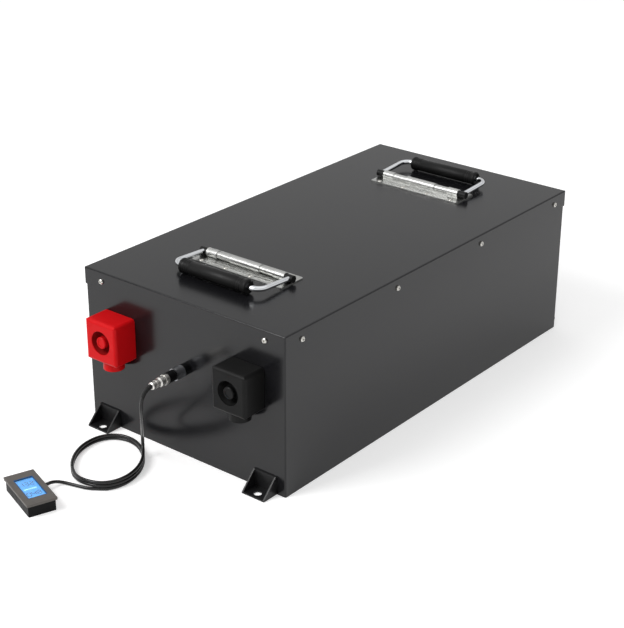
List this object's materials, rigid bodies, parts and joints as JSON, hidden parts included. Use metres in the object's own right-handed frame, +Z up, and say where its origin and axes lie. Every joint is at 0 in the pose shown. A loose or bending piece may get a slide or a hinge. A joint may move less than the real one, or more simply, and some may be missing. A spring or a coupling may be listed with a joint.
{
  "type": "deep cycle battery",
  "caption": "Large deep cycle battery in a black steel case with folding lift handles, floor brackets, red and black quick plugs, and a small meter on a coiled signal lead.",
  "frame": {"origin": "centre of the underside of the steel case, on the floor", "axes": "+Z up, +Y along the length away from the sockets, +X across to the black plug's side; the sockets face -Y"},
  "size_m": [0.3438, 0.8967, 0.2403],
  "materials": {
    "black_paint": "gloss black powder coat",
    "gasket_rubber": "matte",
    "screw_steel": "bright nickel plate",
    "zinc_steel": "zinc plate",
    "bracket_paint": "satin black",
    "handle_steel": "polished",
    "chrome": "mirror",
    "grip_plastic": "satin",
    "spring_steel": "plain",
    "red_plastic": "satin gloss",
    "dark_red_plastic": "satin gloss",
    "black_plastic": "satin gloss",
    "brass": "plated",
    "dark_nickel": "dark nickel plate",
    "cord_jacket": "satin",
    "bezel_plastic": "satin",
    "display_glass": "backlit",
    "clear_window": "clear",
    "circuit_board": "solder mask",
    "cell_can": "blue film",
    "copper": "tinned copper",
    "aluminium": "extruded",
    "tray_board": "insulating board"
  },
  "bodies": {
    "battery": {"case_body": "black_paint", "lid": "black_paint", "lid_gasket": "gasket_rubber", "lid_screws": "screw_steel", "handle_rivets": "screw_steel", "weld_nuts": "zinc_steel", "signal_nut": "zinc_steel", "bracket_front_left": "bracket_paint", "bracket_front_right": "bracket_paint", "bracket_rear_left": "bracket_paint", "bracket_rear_right": "bracket_paint", "handle_plate_front": "handle_steel", "handle_springs_front": "spring_steel", "handle_plate_rear": "handle_steel", "handle_springs_rear": "spring_steel", "power_socket_red": "dark_red_plastic", "socket_pin_red": "brass", "power_socket_black": "black_plastic", "socket_pin_black": "brass", "socket_nuts": "black_plastic", "signal_socket": "black_plastic", "signal_plug_body": "black_plastic", "signal_plug_shell": "chrome", "signal_clamp_nut": "chrome", "signal_boot": "cord_jacket", "cord_drop": "cord_jacket", "cord_coil": "cord_jacket", "cord_tail": "cord_jacket", "meter_grommet": "cord_jacket", "meter_bezel": "bezel_plastic", "meter_case": "black_plastic", "meter_display": "display_glass", "meter_window": "clear_window", "meter_board": "circuit_board", "bms_board": "circuit_board", "cell_bank_1": "cell_can", "cell_bank_2": "cell_can", "cell_bank_3": "cell_can", "cell_bank_4": "cell_can", "cell_busbars": "copper", "power_leads": "copper", "bms_heatsink": "aluminium", "cell_tray": "tray_board"},
    "front_handle": {"handle_bail_front": "chrome", "handle_grip_front": "grip_plastic", "handle_bushes_front": "grip_plastic"},
    "rear_handle": {"handle_bail_rear": "chrome", "handle_grip_rear": "grip_plastic", "handle_bushes_rear": "grip_plastic"},
    "red_plug": {"plug_red": "red_plastic", "plug_contact_red": "copper", "latch_ring_red": "zinc_steel", "button_spring_red": "spring_steel"},
    "black_plug": {"plug_black": "black_plastic", "plug_contact_black": "copper", "latch_ring_black": "zinc_steel", "button_spring_black": "spring_steel"},
    "red_button": {"release_button_red": "red_plastic"},
    "black_button": {"release_button_black": "black_plastic"},
    "signal_ring": {"coupling_ring": "dark_nickel"}
  },
  "joints": [
    {"name": "handle_front_fold", "type": "hinge", "parent": "battery", "child": "front_handle", "pos_m": [0, -0.195, 0.2268], "axis": [-1, 0, 0], "range_deg": [0, 87], "stiffness_Nm_per_rad": 0.12, "springref_deg": -28.65},
    {"name": "handle_rear_fold", "type": "hinge", "parent": "battery", "child": "rear_handle", "pos_m": [0, 0.195, 0.2268], "axis": [1, 0, 0], "range_deg": [0, 87], "stiffness_Nm_per_rad": 0.12, "springref_deg": -28.65},
    {"name": "red_plug_swivel", "type": "hinge", "parent": "battery", "child": "red_plug", "pos_m": [-0.1087, -0.32, 0.1405], "axis": [0, -1, 0], "continuous": true},
    {"name": "black_plug_swivel", "type": "hinge", "parent": "battery", "child": "black_plug", "pos_m": [0.1087, -0.32, 0.1405], "axis": [0, -1, 0], "continuous": true},
    {"name": "red_button_press", "type": "slide", "parent": "red_plug", "child": "red_button", "axis": [0, 1, 0], "range_m": [0, 0.003], "stiffness_N_per_m": 400, "springref_m": -0.002, "deforming": ["button_spring_red"]},
    {"name": "black_button_press", "type": "slide", "parent": "black_plug", "child": "black_button", "axis": [0, 1, 0], "range_m": [0, 0.003], "stiffness_N_per_m": 400, "springref_m": -0.002, "deforming": ["button_spring_black"]},
    {"name": "coupling_ring_turn", "type": "hinge", "parent": "battery", "child": "signal_ring", "pos_m": [0.0075, -0.337, 0.128], "axis": [0, -1, 0], "continuous": true}
  ]
}
